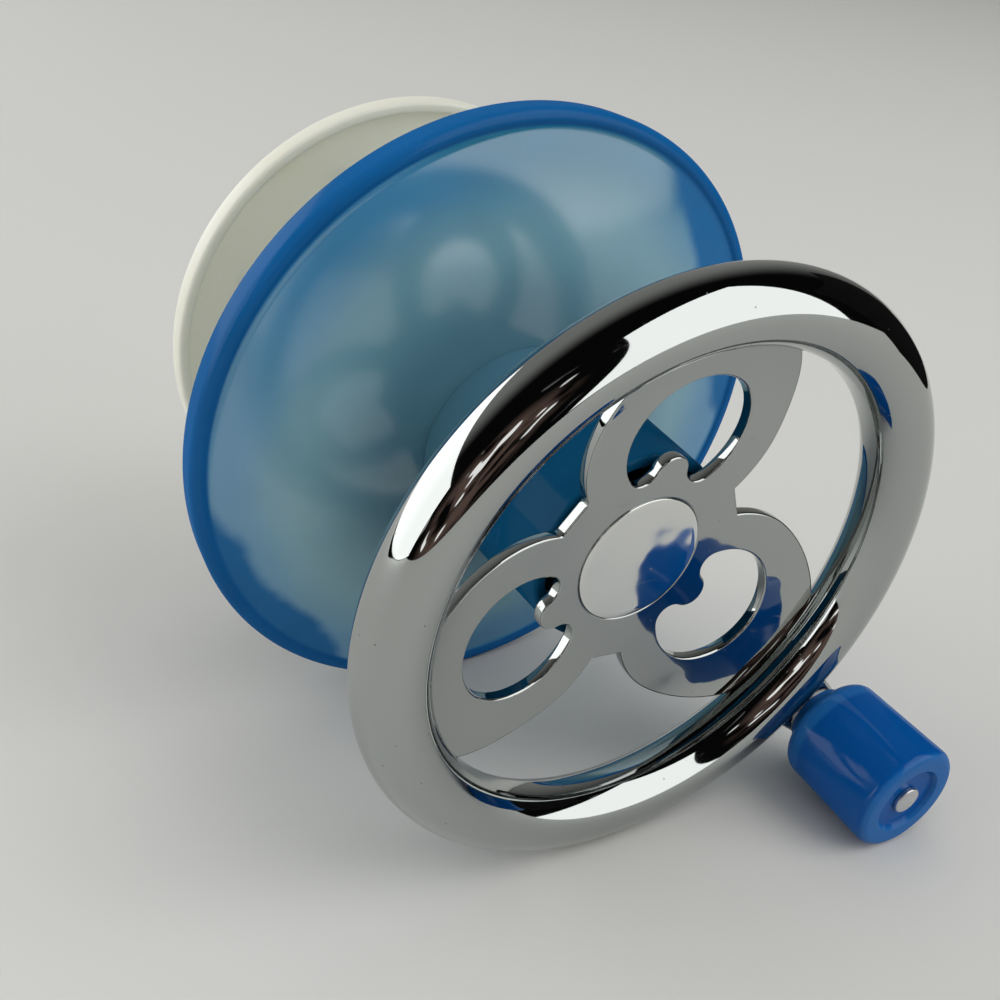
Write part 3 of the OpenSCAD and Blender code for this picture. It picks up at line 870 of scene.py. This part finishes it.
@dataclass
class Lid:
    """Domed lid with a round raised rim, and the neck in its middle."""

    lid_r: float = 70.3 * MM
    rim_r: float = 2.0 * MM
    rim_z: float = 1.2 * MM
    lip_h: float = 0.6 * MM
    dome_h: float = 10.8 * MM
    lid_t: float = 3.2 * MM
    skirt_h: float = 3.4 * MM
    skirt_t: float = 2.8 * MM
    draft: float = 0.4 * MM
    spigot_r: float = 61.4 * MM
    spigot_t: float = 2.4 * MM
    spigot_h: float = 8.5 * MM
    pad_r: float = 32.0 * MM
    pad_z: float = 5.0 * MM
    hole_r: float = 22.25 * MM
    neck_r: float = 21.5 * MM
    foot_r: float = 22.2 * MM
    neck_top: float = 53.4 * MM
    neck_bore: float = 19.0 * MM
    low_bore: float = 17.0 * MM
    ledge_z: float = 33.3 * MM
    flange_r: float = 31.0 * MM
    flange_t: float = 3.0 * MM
    sleeve_r: float = 20.0 * MM
    lid_sides: int = 320
    neck_sides: int = 192

    def build(self) -> None:
        """Builds and dresses the lid and the neck."""
        lid = Bench.lathe("lid_shell", self.lid_profile(), self.lid_sides)
        Bench.finish(lid, POSE.upright, Body.LID, LID_BLUE, Slot.BLUE, "lid")
        neck = Bench.lathe("neck_tower", self.neck_profile(), self.neck_sides)
        Bench.finish(neck, POSE.upright, Body.LID, NECK_BLUE, Slot.BLUE, "neck")

    def lid_profile(self) -> list[Point]:
        """Section of the lid.

        Returns:
            Closed points of radius and height.
        """
        rim_c = self.lid_r - self.rim_r
        lip_a = 180.0 - math.degrees(math.asin((self.rim_r - self.lip_h) / self.rim_r))
        edge_r = rim_c + self.rim_r * math.cos(math.radians(lip_a))
        drop = self.dome_h - (self.rim_z + self.rim_r - self.lip_h)
        dome_r = (edge_r ** 2 + drop ** 2) / (2.0 * drop)
        centre = (0.0, self.dome_h - dome_r)

        def lean(r: float, big: float) -> float:
            """Angle from the x axis, in degrees, of the point of a sphere at a radius."""
            return 90.0 - math.degrees(math.asin(r / big))

        fillet, fillet_turn = 0.5 * MM, 12.0
        under = dome_r - self.lid_t
        inner_r = self.spigot_r - self.spigot_t
        soft, chamfer = 0.5 * MM, 0.3 * MM
        skirt_r = self.lid_r - self.draft
        gate = self.lid_r - self.skirt_t
        return (
            [(self.hole_r, self.pad_z)]
            + arc(centre, dome_r, lean(self.hole_r, dome_r), lean(edge_r - fillet, dome_r), 40)
            + arc((rim_c, self.rim_z), self.rim_r, lip_a - fillet_turn, 0.0, 24)
            + arc((skirt_r - soft, -self.skirt_h + soft), soft, 0.0, -90.0, 4)
            + arc((gate + soft, -self.skirt_h + soft), soft, -90.0, -180.0, 4)
            + [(gate, -chamfer), (gate - chamfer, 0.0), (self.spigot_r + chamfer, 0.0)]
            + [(self.spigot_r, -chamfer)]
            + arc((self.spigot_r - soft, -self.spigot_h + soft), soft, 0.0, -90.0, 4)
            + arc((inner_r + soft, -self.spigot_h + soft), soft, -90.0, -180.0, 4)
            + arc(centre, under, lean(inner_r, under), lean(self.pad_r, under), 16)
            + [(self.pad_r, self.pad_z)]
        )

    def neck_profile(self) -> list[Point]:
        """Section of the neck.

        Returns:
            Closed points of radius and height.
        """
        flange_z = self.pad_z - self.flange_t
        lip = 1.0 * MM
        soft = 0.4 * MM
        return (
            [(self.low_bore, 0.0), (self.sleeve_r - soft, 0.0)]
            + [(self.sleeve_r, soft), (self.sleeve_r, flange_z)]
            + [(self.flange_r - soft, flange_z), (self.flange_r, flange_z + soft)]
            + [(self.flange_r, self.pad_z), (self.foot_r, self.pad_z), (self.foot_r, self.dome_h)]
            + arc((self.neck_r - lip, self.neck_top - lip), lip, 0.0, 90.0, 8)
            + arc((self.neck_bore + soft, self.neck_top - soft), soft, 90.0, 180.0, 4)
            + [(self.neck_bore, self.ledge_z), (self.low_bore, self.ledge_z)]
        )


@dataclass
class Wheel:
    """Plated wheel: ring, three-lobed plate, boss, ear for the knob, and the cap on its hub."""

    ring_c: float = 57.8 * MM
    ring_r: float = 7.19 * MM
    ring_z: float = 65.0 * MM
    band_r: float = 50.9 * MM
    plate_low: float = 54.2 * MM
    plate_high: float = 56.8 * MM
    plate_edge: float = 0.45 * MM
    dish_rise: float = 4.4 * MM
    dish_lip: float = 11.0
    lip_from: float = 38.0 * MM
    dish_lean: float = 1.2
    dish_cell: float = 3.0 * MM
    lobe_r: float = 22.6 * MM
    lobe_at: float = 28.0 * MM
    lobe_stretch: float = 1.2
    notch_at: float = 23.4 * MM
    window_r: float = 13.6 * MM
    window_at: float = 28.2 * MM
    bump_r: float = 3.8 * MM
    bump_tip: float = 23.6 * MM
    end_r: float = 3.4 * MM
    boss_r: float = 15.5 * MM
    boss_z: float = 44.0 * MM
    boss_bore: float = 10.0 * MM
    cap_r: float = 14.0 * MM
    cap_low: float = 55.7 * MM
    cap_high: float = 56.95 * MM
    cap_well: float = 56.6 * MM
    cap_gap: float = 0.05 * MM
    well_r: float = 6.5 * MM
    ear_r: float = 6.8 * MM
    ear_low: float = 61.7 * MM
    ear_high: float = 68.7 * MM
    ear_edge: float = 1.6 * MM
    lobes: int = 3
    lobe_turn: float = 5.2
    ring_sides: int = 320
    boss_sides: int = 128
    cap_sides: int = 160
    hole_sides: int = 128

    def build(self) -> None:
        """Builds and dresses the wheel."""
        ring = Bench.lathe("wheel_ring", self.ring_profile(), self.ring_sides)
        holes = [turned(self.kidney(), 360.0 * k / self.lobes) for k in range(self.lobes)]
        hole = arc((0.0, 0.0), self.cap_r + self.cap_gap, 0.0, 360.0, self.hole_sides)[:-1]
        plate = Bench.slab("wheel_plate", [self.outline(), hole] + holes, self.plate_low, self.plate_high,
                           self.plate_edge)
        Bench.bend(plate, (self.plate_low, self.plate_high), self.ring_c, self.dish_cell, self.bowl)
        boss = Bench.lathe("wheel_boss", self.boss_profile(), self.boss_sides)
        ear = Bench.slab("wheel_ear", [self.ear_outline()], self.ear_low, self.ear_high, self.ear_edge)
        hub = Matrix.Translation((0.0, 0.0, self.plate_high))
        lean = Matrix.Rotation(math.radians(self.dish_lean), 4, "Y")
        leaned = POSE.crank @ hub @ lean @ hub.inverted()
        lobed = leaned @ Matrix.Rotation(math.radians(self.lobe_turn), 4, "Z")
        Bench.finish(plate, lobed, Body.CRANK, PLATE_CHROME, Slot.CHROME, "handwheel")
        for piece in (ring, boss, ear):
            Bench.finish(piece, POSE.crank, Body.CRANK, RING_CHROME, Slot.CHROME, "handwheel")
        cap = Bench.lathe("hub_disc", self.cap_profile(), self.cap_sides, closed=False)
        Bench.finish(cap, leaned, Body.CRANK, CAP_BRIGHT, Slot.SATIN, "hub_cap")

    def bowl(self, r: float) -> Point:
        """Shape of the dished plate.

        Args:
            r: distance from the crank axis.

        Returns:
            Rise over the plate's middle, and slope.
        """
        past = max(0.0, r - self.lip_from)
        rise = self.dish_rise * (r / self.band_r) ** 2 + self.dish_lip * past ** 2
        return rise, 2.0 * self.dish_rise * r / self.band_r ** 2 + 2.0 * self.dish_lip * past

    def ring_profile(self) -> list[Point]:
        """Section of the ring: a circle with a flat on its inner side.

        Returns:
            Closed points of radius and height.
        """
        flat_a = math.degrees(math.acos((self.ring_c - self.band_r) / self.ring_r))
        return arc((self.ring_c, self.ring_z), self.ring_r, 180.0 - flat_a, -180.0 + flat_a, 88)

    def outline(self) -> list[Point]:
        """Outside outline of the plate: round lobes whose tips reach into the ring.

        Returns:
            Closed flat points.
        """
        share = 180.0 / self.lobes
        reach = self.notch_at - self.lobe_at * math.cos(math.radians(share))
        side = math.sqrt(self.lobe_r ** 2 - reach ** 2)
        corner = share + math.degrees(math.atan2(side, reach))
        round_tip = arc((0.0, 0.0), self.lobe_r, 0.0, 90.0, 24)
        tip = [(self.lobe_at + self.lobe_stretch * x, y) for x, y in round_tip]
        half = tip + arc((self.lobe_at, 0.0), self.lobe_r, 90.0, corner, 16)[1:]
        lobe = [(x, -y) for x, y in reversed(half)] + half[1:]
        return [p for k in range(self.lobes) for p in turned(lobe, 360.0 * k / self.lobes)]

    def kidney(self) -> list[Point]:
        """Outline of one window.

        Returns:
            Closed flat points.
        """
        bump_at = self.bump_tip - self.bump_r
        gap = self.window_at - bump_at
        far, near = self.window_r - self.end_r, self.bump_r + self.end_r
        ex = self.window_at - (far ** 2 - near ** 2 + gap ** 2) / (2.0 * gap)
        ey = math.sqrt(far ** 2 - (self.window_at - ex) ** 2)
        wide = math.degrees(math.atan2(ey, ex - self.window_at))
        low = math.degrees(math.atan2(ey, ex - bump_at))
        return (
            arc((self.window_at, 0.0), self.window_r, -wide, wide, 48)[:-1]
            + arc((ex, ey), self.end_r, wide, 180.0 + low, 14)[:-1]
            + arc((bump_at, 0.0), self.bump_r, low, -low, 14)[:-1]
            + arc((ex, -ey), self.end_r, 180.0 - low, 360.0 - wide, 14)[:-1]
        )

    def boss_profile(self) -> list[Point]:
        """Section of the boss behind the plate, with the floor under the cap.

        Returns:
            Closed points of radius and height.
        """
        soft, slip = 0.6 * MM, 0.02 * MM
        top = self.cap_low - slip
        shoulder = self.plate_low + 1.1 * MM
        floor_r = self.cap_r - 0.5 * MM
        return (
            [(self.boss_bore, self.boss_z), (self.boss_r - soft, self.boss_z)]
            + arc((self.boss_r - soft, self.boss_z + soft), soft, -90.0, 0.0, 4)
            + [(self.boss_r, shoulder), (floor_r, top), (self.boss_bore, top)]
        )

    def ear_outline(self) -> list[Point]:
        """Outline of the ear that carries the knob.

        Returns:
            Closed flat points.
        """
        flare, turn = 1.2, 80.0
        foot = [(self.ring_c, self.ear_r * flare), (self.ring_c, -self.ear_r * flare)]
        return foot + arc((POSE.knob_at, 0.0), self.ear_r, -turn, turn, 24)

    def cap_profile(self) -> list[Point]:
        """Section of the cap in the plate's middle, dished as the plate is.

        Returns:
            Open points of radius and height, from the axis to the axis.
        """
        soft, steps = 0.15 * MM, 10
        flat = self.cap_r - soft
        radii = [flat * k / steps for k in range(steps, -1, -1)]
        bowl = [(r, self.cap_high + self.bowl(r)[0]) for r in radii]
        under = [(0.0, self.cap_well), (self.well_r, self.cap_well), (self.well_r, self.cap_low),
                 (self.cap_r, self.cap_low)]
        return under + arc((flat, bowl[0][1] - soft), soft, 0.0, 90.0, 4)[:-1] + bowl


@dataclass
class Knob:
    """Barrel grip on its pin."""

    foot_z: float = 69.4 * MM
    length: float = 28.98 * MM
    foot_r: float = 7.2 * MM
    base_z: float = 72.4 * MM
    base_r: float = 12.5 * MM
    base_round: float = 3.0 * MM
    wide_r: float = 12.98 * MM
    end_round: float = 2.0 * MM
    dish_r: float = 8.0 * MM
    dish_h: float = 1.2 * MM
    pin_r: float = 1.8 * MM
    head_r: float = 3.2 * MM
    head_h: float = 1.0 * MM
    gap: float = 0.05 * MM
    ear_low: float = 61.7 * MM
    head_gap: float = 0.1 * MM
    grip_sides: int = 160
    pin_sides: int = 64

    def build(self) -> None:
        """Builds and dresses the knob and its pin."""
        grip = Bench.lathe("knob_grip_barrel", self.profile(), self.grip_sides)
        Bench.finish(grip, POSE.knob, Body.KNOB, KNOB_BLUE, Slot.BLUE, "knob")
        pin = Bench.lathe("knob_axle", self.pin_profile(), self.pin_sides, closed=False)
        Bench.finish(pin, POSE.knob, Body.CRANK, STEEL, Slot.STEEL, "knob_pin")

    def profile(self) -> list[Point]:
        """Section of the grip.

        Returns:
            Closed points of radius and height.
        """
        end = self.foot_z + self.length
        dish = end - self.dish_h
        soft, hollow = 0.5 * MM, 0.6 * MM
        floor_r = self.dish_r - 1.0 * MM
        bore = self.pin_r + self.gap
        base = (self.base_r - self.base_round, self.base_z + self.base_round)
        brim = (self.wide_r - self.end_round, end - self.end_round)
        return (
            [(bore, self.foot_z), (self.foot_r, self.foot_z), (self.foot_r, self.base_z)]
            + arc(base, self.base_round, -90.0, 0.0, 14)
            + arc(brim, self.end_round, 0.0, 90.0, 18)
            + arc((self.dish_r + soft, end - soft), soft, 90.0, 160.0, 5)
            + arc((floor_r, dish + hollow), hollow, -20.0, -90.0, 5)
            + [(bore, dish)]
        )

    def pin_profile(self) -> list[Point]:
        """Section of the pin with its two heads.

        Returns:
            Open points of radius and height, from the axis to the axis.
        """
        low = self.ear_low - self.head_gap
        top = self.foot_z + self.length - self.dish_h + self.head_gap
        soft = 0.35 * MM
        return (
            [(0.0, low - self.head_h)]
            + arc((self.head_r - soft, low - self.head_h + soft), soft, -90.0, 0.0, 4)
            + [(self.head_r, low), (self.pin_r, low), (self.pin_r, top), (self.head_r, top)]
            + arc((self.head_r - soft, top + self.head_h - soft), soft, 0.0, 90.0, 5)
            + [(0.0, top + self.head_h)]
        )


@dataclass
class Pusher:
    """Disc that presses on the ice, and the spring behind it."""

    disc_r: float = 55.5 * MM
    back_z: float = -51.0 * MM
    face_z: float = -48.0 * MM
    rim_z: float = -46.0 * MM
    rim_t: float = 2.6 * MM
    wire_r: float = 0.6 * MM
    coil_r: float = 4.6 * MM
    turns: int = 20
    low_z: float = -41.3 * MM
    high_z: float = 41.7 * MM
    guide_z: float = 42.3 * MM
    travel: float = 29.0 * MM
    disc_sides: int = 240
    coil_steps: int = 24
    wire_sides: int = 10

    def build(self) -> None:
        """Builds and dresses the disc and the spring."""
        disc = Bench.lathe("pusher_plate", self.disc_profile(), self.disc_sides, closed=False)
        Bench.finish(disc, POSE.crank, Body.PUSHER, CREAM, Slot.CREAM, "pusher_disc")
        coil = Bench.finish(self.coil(), POSE.upright, Body.CRANK, STEEL, Slot.STEEL, "push_spring")
        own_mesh(coil)

    def disc_profile(self) -> list[Point]:
        """Section of the disc with its rim.

        Returns:
            Open points of radius and height, from the axis to the axis.
        """
        soft = 0.8 * MM
        inner = self.disc_r - self.rim_t
        return (
            [(0.0, self.back_z)]
            + arc((self.disc_r - soft, self.back_z + soft), soft, -90.0, 0.0, 6)
            + arc((self.disc_r - soft, self.rim_z - soft), soft, 0.0, 90.0, 6)
            + arc((inner + soft, self.rim_z - soft), soft, 90.0, 180.0, 6)
            + arc((inner - soft, self.face_z + soft), soft, 0.0, -90.0, 6)
            + [(0.0, self.face_z)]
        )

    def coil(self) -> bpy.types.Object:
        """Spring with half a flat turn at each end.

        Returns:
            The new object.
        """
        build = bmesh.new()
        flat_turn = 0.5
        rising = self.turns - 2.0 * flat_turn
        pitch = (self.high_z - self.low_z - 2.0 * self.wire_r) / rising
        rings = []
        for i in range(self.turns * self.coil_steps + 1):
            turn = i / self.coil_steps
            middle = self.low_z + self.wire_r + pitch * min(max(turn - flat_turn, 0.0), rising)
            a = 2.0 * math.pi * turn
            ring = []
            for k in range(self.wire_sides):
                b = 2.0 * math.pi * k / self.wire_sides
                r = self.coil_r + self.wire_r * math.cos(b)
                z = middle + self.wire_r * math.sin(b)
                ring.append(build.verts.new((r * math.cos(a), r * math.sin(a), z)))
            rings.append(ring)
        for low, high in zip(rings, rings[1:]):
            for k in range(self.wire_sides):
                n = (k + 1) % self.wire_sides
                build.faces.new((low[k], low[n], high[n], high[k]))
        build.faces.new(rings[0])
        build.faces.new(rings[-1])
        return Bench.mesh("push_coil", build)


@dataclass
class Works:
    """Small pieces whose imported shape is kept, with new materials."""

    looks: dict[str, Finish] = field(default_factory=lambda: {
        "neck_screws": STEEL, "upper_bush": WHITE, "lower_bush": WHITE, "drive_tube": WHITE,
        "thrust_washer": STEEL, "lower_washer": STEEL, "end_nut": WHITE, "hub_screw": STEEL,
        "hub_washer": STEEL, "knob_washer": STEEL, "spring_guide": WHITE, "pusher_stem": CREAM,
        "pusher_screws": STEEL, "pusher_spikes": STEEL})

    def build(self) -> None:
        """Gives each kept node its material."""
        for name, look in self.looks.items():
            node = frame["nodes"][name]
            for held in node.material_slots:
                held.material = look.material()
            LOG.info("node %s keeps its shape, in %s", name, look.name)


@dataclass(frozen=True)
class Lamp:
    """One soft rectangular light that faces the head.

    Its side is in degrees from the front towards the right, its rise in degrees above the floor, its
    power in watts. Shiny pieces reflect it only where it is mirrored.
    """

    name: str
    side: float
    rise: float
    away: float
    wide: float
    high: float
    power: float
    mirrored: bool = True

    def hang(self, centre: Colour) -> None:
        """Makes the light and aims it.

        Args:
            centre: point that it faces.
        """
        data = bpy.data.lights.new(self.name, "AREA")
        data.shape = "RECTANGLE"
        data.size = self.wide
        data.size_y = self.high
        data.energy = self.power
        turn, lift = math.radians(self.side), math.radians(self.rise)
        ray = Vector((math.sin(turn) * math.cos(lift), -math.cos(turn) * math.cos(lift), math.sin(lift)))
        lamp = bpy.data.objects.new(self.name, data)
        lamp.location = Vector(centre) + ray * self.away
        lamp.rotation_euler = (-ray).to_track_quat("-Z", "Y").to_euler()
        lamp.visible_glossy = self.mirrored
        bpy.context.scene.collection.objects.link(lamp)


@dataclass
class Studio:
    """Floor, soft light and camera."""

    floor_half: float = 6.0
    floor_front: float = -0.5
    floor_gap: float = 0.05 * MM
    near_x: Span = (-0.8, 1.7)
    near_y: Span = (-1.5, 1.5)
    floor_tone: Colour = (0.655, 0.655, 0.63)
    sky_tone: Colour = (0.62, 0.62, 0.61)
    room_tone: Colour = (0.004, 0.004, 0.004)
    wall_tone: Colour = (0.170, 0.110, 0.092)
    wall_way: Colour = (-0.54, -0.82, 0.17)
    wall_span: Span = (0.80, 0.97)
    blot_grain: float = 5.0
    blot_cut: Span = (0.38, 0.58)
    back_tone: Colour = (0.30, 0.30, 0.29)
    back_span: Span = (0.10, 0.75)
    streak: float = 1.6
    streak_span: Span = (0.70, 0.90)
    streak_grain: float = 4.5
    streak_cut: Span = (0.61, 0.64)
    flag_x: float = 0.47
    flag_y: Span = (-0.27, 0.12)
    flag_h: float = 0.35
    lamps: tuple[Lamp, ...] = (
        Lamp("fill", side=0.0, rise=89.0, away=2.4, wide=4.0, high=4.0, power=50.0, mirrored=False),
        Lamp("left_window", side=-125.0, rise=15.0, away=1.6, wide=3.8, high=0.98, power=26.0),
        Lamp("front_window", side=35.0, rise=25.0, away=1.6, wide=1.36, high=2.4, power=21.0))
    centre: Colour = (0.0, -0.04, 0.0)
    eye: Colour = (-0.1435, -0.2192, 0.1262)
    aim: Colour = (60.517, -5.012, -31.225)
    lens: float = 46.8
    sensor: float = 36.0
    clip: float = 0.01

    def build(self) -> None:
        """Builds the floor, the lights, the surroundings and the camera."""
        level = CAD_BOX[0][2] - self.floor_gap
        self.floor(level)
        self.flag(level)
        for lamp in self.lamps:
            lamp.hang(self.centre)
        self.surroundings()
        self.camera()

    def flag(self, level: float) -> None:
        """Makes a dark upright card that only reflections show.

        Args:
            level: height of its foot.
        """
        (front, back), top = self.flag_y, level + self.flag_h
        corners = [(self.flag_x, front, level), (self.flag_x, back, level),
                   (self.flag_x, back, top), (self.flag_x, front, top)]
        flag = self.card("studio_flag", [corners], self.room_tone)
        flag.visible_camera = False
        flag.visible_diffuse = False
        flag.visible_shadow = False

    def floor(self, level: float) -> None:
        """Makes the floor: a near part, and a far part that only lights and reflects.

        Args:
            level: height of the floor.
        """
        wide = self.floor_half
        xs = (-wide, *self.near_x, wide)
        ys = (-wide, self.near_y[0], self.floor_front, self.near_y[1], wide)
        cells = {}
        for i, j in itertools.product(range(3), range(4)):
            part = "apron" if j < 2 else "floor"
            reach = "near" if i == 1 and j in (1, 2) else "far"
            quad = [(xs[i], ys[j], level), (xs[i + 1], ys[j], level),
                    (xs[i + 1], ys[j + 1], level), (xs[i], ys[j + 1], level)]
            cells.setdefault((part, reach), []).append(quad)
        for (part, reach), quads in cells.items():
            sheet = self.card(f"studio_{part}_{reach}", quads, self.floor_tone)
            sheet.visible_glossy = part == "floor"
            sheet.visible_camera = reach == "near"

    @staticmethod
    def card(name: str, quads: Sequence[Sequence[Colour]], tone: Colour) -> bpy.types.Object:
        """Makes one flat card of the studio.

        Args:
            name: name of the card.
            quads: corners of each of its faces, in order.
            tone: its colour.

        Returns:
            The card.
        """
        build = bmesh.new()
        for quad in quads:
            build.faces.new([build.verts.new(corner) for corner in quad])
        sheet = Bench.mesh(name, build)
        sheet.data.materials.append(Matte(name, tone).material())
        return sheet

    def surroundings(self) -> None:
        """Makes a pale backdrop, and the dark room with a brown wall that shiny pieces reflect."""
        world = bpy.data.worlds.new("studio_room")
        world.use_nodes = True
        bpy.context.scene.world = world
        graph = Graph(world.node_tree)
        way = graph.node("ShaderNodeTexCoord", {}, {}, "Generated")
        x, y, z = graph.parts(way)
        aside = x * self.wall_way[0] + y * self.wall_way[1] + z * self.wall_way[2]
        blots = {"Vector": way, "Scale": self.blot_grain, "Detail": 3.0}
        blot = graph.node("ShaderNodeTexNoise", {}, blots, "Fac")
        wall = graph.ramp(aside, *self.wall_span) * graph.ramp(blot, *self.blot_cut)
        rear = graph.mix(graph.ramp(y, *self.back_span), self.room_tone, self.back_tone)
        streaks = {"Vector": way, "Scale": self.streak_grain, "Detail": 1.0}
        grain = graph.node("ShaderNodeTexNoise", {}, streaks, "Fac")
        glint = graph.ramp(aside, *self.streak_span) * graph.ramp(grain, *self.streak_cut) * self.streak
        room = graph.mix(wall, rear, self.wall_tone) + glint
        seen = graph.node("ShaderNodeLightPath", {}, {}, "Is Camera Ray")
        tone = graph.mix(seen, room, self.sky_tone)
        light = graph.node("ShaderNodeBackground", {}, {"Color": tone, "Strength": 1.0})
        graph.node("ShaderNodeOutputWorld", {}, {"Surface": light})

    def camera(self) -> None:
        """Makes the camera of the photograph's view."""
        data = bpy.data.cameras.new("view")
        data.lens = self.lens
        data.sensor_width = self.sensor
        data.clip_start = self.clip
        eye = bpy.data.objects.new("view", data)
        eye.location = self.eye
        eye.rotation_euler = [math.radians(a) for a in self.aim]
        bpy.context.scene.collection.objects.link(eye)
        bpy.context.scene.camera = eye


def main() -> None:
    """Builds everything in order."""
    logging.basicConfig(level=logging.INFO, format="%(name)s: %(message)s")
    bpy.context.scene.view_settings.view_transform = "Standard"
    for assembly in (Studio(), Lid(), Wheel(), Knob(), Pusher(), Works()):
        assembly.build()


if __name__ == "__main__":
    main()
